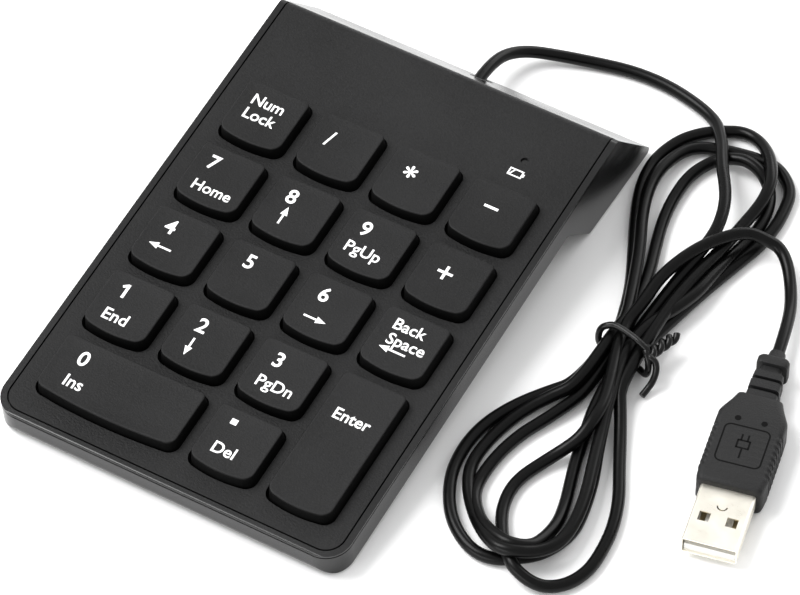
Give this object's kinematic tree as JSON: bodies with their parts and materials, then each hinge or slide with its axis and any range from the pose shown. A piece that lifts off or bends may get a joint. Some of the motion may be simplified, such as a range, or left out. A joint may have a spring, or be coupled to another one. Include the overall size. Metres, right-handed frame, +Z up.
{
  "type": "wired numeric keypad",
  "caption": "Wired numeric keypad: a sloping slab on a rear wedge foot with separate bow-fronted keys that press down, and a coiled, tied cord ending in a flat computer plug.",
  "frame": {"origin": "centre of the footprint of the housing on the desk, the cord and plug left out", "axes": "+X to the user's right, +Y away from the user to the wedge foot and cord exit, +Z up off the desk"},
  "size_m": [0.155, 0.1577, 0.02],
  "materials": {
    "housing": "fine-textured charcoal black ABS",
    "keycap": "satin charcoal black ABS with printed white legends",
    "dome_rubber": "translucent silicone rubber",
    "membrane": "polyester film with printed tracks",
    "steel": "zinc plated sheet",
    "screw_steel": "blackened steel",
    "board": "green solder mask over glass epoxy",
    "chip": "moulded epoxy",
    "crystal_can": "tinned can",
    "led": "clear epoxy on white carrier",
    "lens": "clear moulded light pipe",
    "clamp": "moulded clamp bar",
    "header": "moulded nylon",
    "cord": "black PVC jacket with a soft sheen",
    "tie": "plastic coated wire",
    "gland": "black PVC sleeve",
    "plated_shell": "nickel plated steel with a warm tone",
    "tongue": "white moulded tongue",
    "gold_contact": "gold plated strips",
    "plug_body": "satin black PVC",
    "foot_rubber": "black rubber",
    "wire_red": "insulated wire",
    "wire_white": "insulated wire",
    "wire_green": "insulated wire",
    "wire_black": "insulated wire"
  },
  "bodies": {
    "housing": {"backplate": "steel", "board_screws": "screw_steel", "bottom_shell": "housing", "cable_header": "header", "circuit_board": "board", "controller_chip": "chip", "cord_gland": "gland", "cord_hank": "cord", "cord_lead_in": "cord", "cord_lead_out": "cord", "crystal": "crystal_can", "dome_sheet": "dome_rubber", "front_feet": "foot_rubber", "header_plug": "header", "housing_screws": "screw_steel", "light_pipe": "lens", "membrane_bottom": "membrane", "membrane_clamp": "clamp", "membrane_spacer": "membrane", "membrane_top": "membrane", "plug_overmould": "plug_body", "plug_relief": "plug_body", "rear_feet": "foot_rubber", "rim_frame": "housing", "status_led": "led", "top_plate": "housing", "twist_tie": "tie", "usb_contacts": "gold_contact", "usb_shell": "plated_shell", "usb_tongue": "tongue", "wire_black": "wire_black", "wire_green": "wire_green", "wire_red": "wire_red", "wire_white": "wire_white"},
    "cap_0": {"key_0": "keycap"},
    "cap_1": {"key_1": "keycap"},
    "cap_2": {"key_2": "keycap"},
    "cap_3": {"key_3": "keycap"},
    "cap_4": {"key_4": "keycap"},
    "cap_5": {"key_5": "keycap"},
    "cap_6": {"key_6": "keycap"},
    "cap_7": {"key_7": "keycap"},
    "cap_8": {"key_8": "keycap"},
    "cap_9": {"key_9": "keycap"},
    "cap_backspace": {"key_backspace": "keycap"},
    "cap_divide": {"key_divide": "keycap"},
    "cap_dot": {"key_dot": "keycap"},
    "cap_enter": {"key_enter": "keycap"},
    "cap_minus": {"key_minus": "keycap"},
    "cap_multiply": {"key_multiply": "keycap"},
    "cap_num_lock": {"key_num_lock": "keycap"},
    "cap_plus": {"key_plus": "keycap"}
  },
  "joints": [
    {"name": "press_0", "type": "slide", "parent": "housing", "child": "cap_0", "axis": [0, 0.1045, -0.9945], "range_m": [0, 0.002], "stiffness_N_per_m": 300, "springref_m": -0.0006, "deforming": ["dome_sheet"]},
    {"name": "press_1", "type": "slide", "parent": "housing", "child": "cap_1", "axis": [0, 0.1045, -0.9945], "range_m": [0, 0.002], "stiffness_N_per_m": 300, "springref_m": -0.0006, "deforming": ["dome_sheet"]},
    {"name": "press_2", "type": "slide", "parent": "housing", "child": "cap_2", "axis": [0, 0.1045, -0.9945], "range_m": [0, 0.002], "stiffness_N_per_m": 300, "springref_m": -0.0006, "deforming": ["dome_sheet"]},
    {"name": "press_3", "type": "slide", "parent": "housing", "child": "cap_3", "axis": [0, 0.1045, -0.9945], "range_m": [0, 0.002], "stiffness_N_per_m": 300, "springref_m": -0.0006, "deforming": ["dome_sheet"]},
    {"name": "press_4", "type": "slide", "parent": "housing", "child": "cap_4", "axis": [0, 0.1045, -0.9945], "range_m": [0, 0.002], "stiffness_N_per_m": 300, "springref_m": -0.0006, "deforming": ["dome_sheet"]},
    {"name": "press_5", "type": "slide", "parent": "housing", "child": "cap_5", "axis": [0, 0.1045, -0.9945], "range_m": [0, 0.002], "stiffness_N_per_m": 300, "springref_m": -0.0006, "deforming": ["dome_sheet"]},
    {"name": "press_6", "type": "slide", "parent": "housing", "child": "cap_6", "axis": [0, 0.1045, -0.9945], "range_m": [0, 0.002], "stiffness_N_per_m": 300, "springref_m": -0.0006, "deforming": ["dome_sheet"]},
    {"name": "press_7", "type": "slide", "parent": "housing", "child": "cap_7", "axis": [0, 0.1045, -0.9945], "range_m": [0, 0.002], "stiffness_N_per_m": 300, "springref_m": -0.0006, "deforming": ["dome_sheet"]},
    {"name": "press_8", "type": "slide", "parent": "housing", "child": "cap_8", "axis": [0, 0.1045, -0.9945], "range_m": [0, 0.002], "stiffness_N_per_m": 300, "springref_m": -0.0006, "deforming": ["dome_sheet"]},
    {"name": "press_9", "type": "slide", "parent": "housing", "child": "cap_9", "axis": [0, 0.1045, -0.9945], "range_m": [0, 0.002], "stiffness_N_per_m": 300, "springref_m": -0.0006, "deforming": ["dome_sheet"]},
    {"name": "press_backspace", "type": "slide", "parent": "housing", "child": "cap_backspace", "axis": [0, 0.1045, -0.9945], "range_m": [0, 0.002], "stiffness_N_per_m": 300, "springref_m": -0.0006, "deforming": ["dome_sheet"]},
    {"name": "press_divide", "type": "slide", "parent": "housing", "child": "cap_divide", "axis": [0, 0.1045, -0.9945], "range_m": [0, 0.002], "stiffness_N_per_m": 300, "springref_m": -0.0006, "deforming": ["dome_sheet"]},
    {"name": "press_dot", "type": "slide", "parent": "housing", "child": "cap_dot", "axis": [0, 0.1045, -0.9945], "range_m": [0, 0.002], "stiffness_N_per_m": 300, "springref_m": -0.0006, "deforming": ["dome_sheet"]},
    {"name": "press_enter", "type": "slide", "parent": "housing", "child": "cap_enter", "axis": [0, 0.1045, -0.9945], "range_m": [0, 0.002], "stiffness_N_per_m": 300, "springref_m": -0.0006, "deforming": ["dome_sheet"]},
    {"name": "press_minus", "type": "slide", "parent": "housing", "child": "cap_minus", "axis": [0, 0.1045, -0.9945], "range_m": [0, 0.002], "stiffness_N_per_m": 300, "springref_m": -0.0006, "deforming": ["dome_sheet"]},
    {"name": "press_multiply", "type": "slide", "parent": "housing", "child": "cap_multiply", "axis": [0, 0.1045, -0.9945], "range_m": [0, 0.002], "stiffness_N_per_m": 300, "springref_m": -0.0006, "deforming": ["dome_sheet"]},
    {"name": "press_num_lock", "type": "slide", "parent": "housing", "child": "cap_num_lock", "axis": [0, 0.1045, -0.9945], "range_m": [0, 0.002], "stiffness_N_per_m": 300, "springref_m": -0.0006, "deforming": ["dome_sheet"]},
    {"name": "press_plus", "type": "slide", "parent": "housing", "child": "cap_plus", "axis": [0, 0.1045, -0.9945], "range_m": [0, 0.002], "stiffness_N_per_m": 300, "springref_m": -0.0006, "deforming": ["dome_sheet"]}
  ]
}
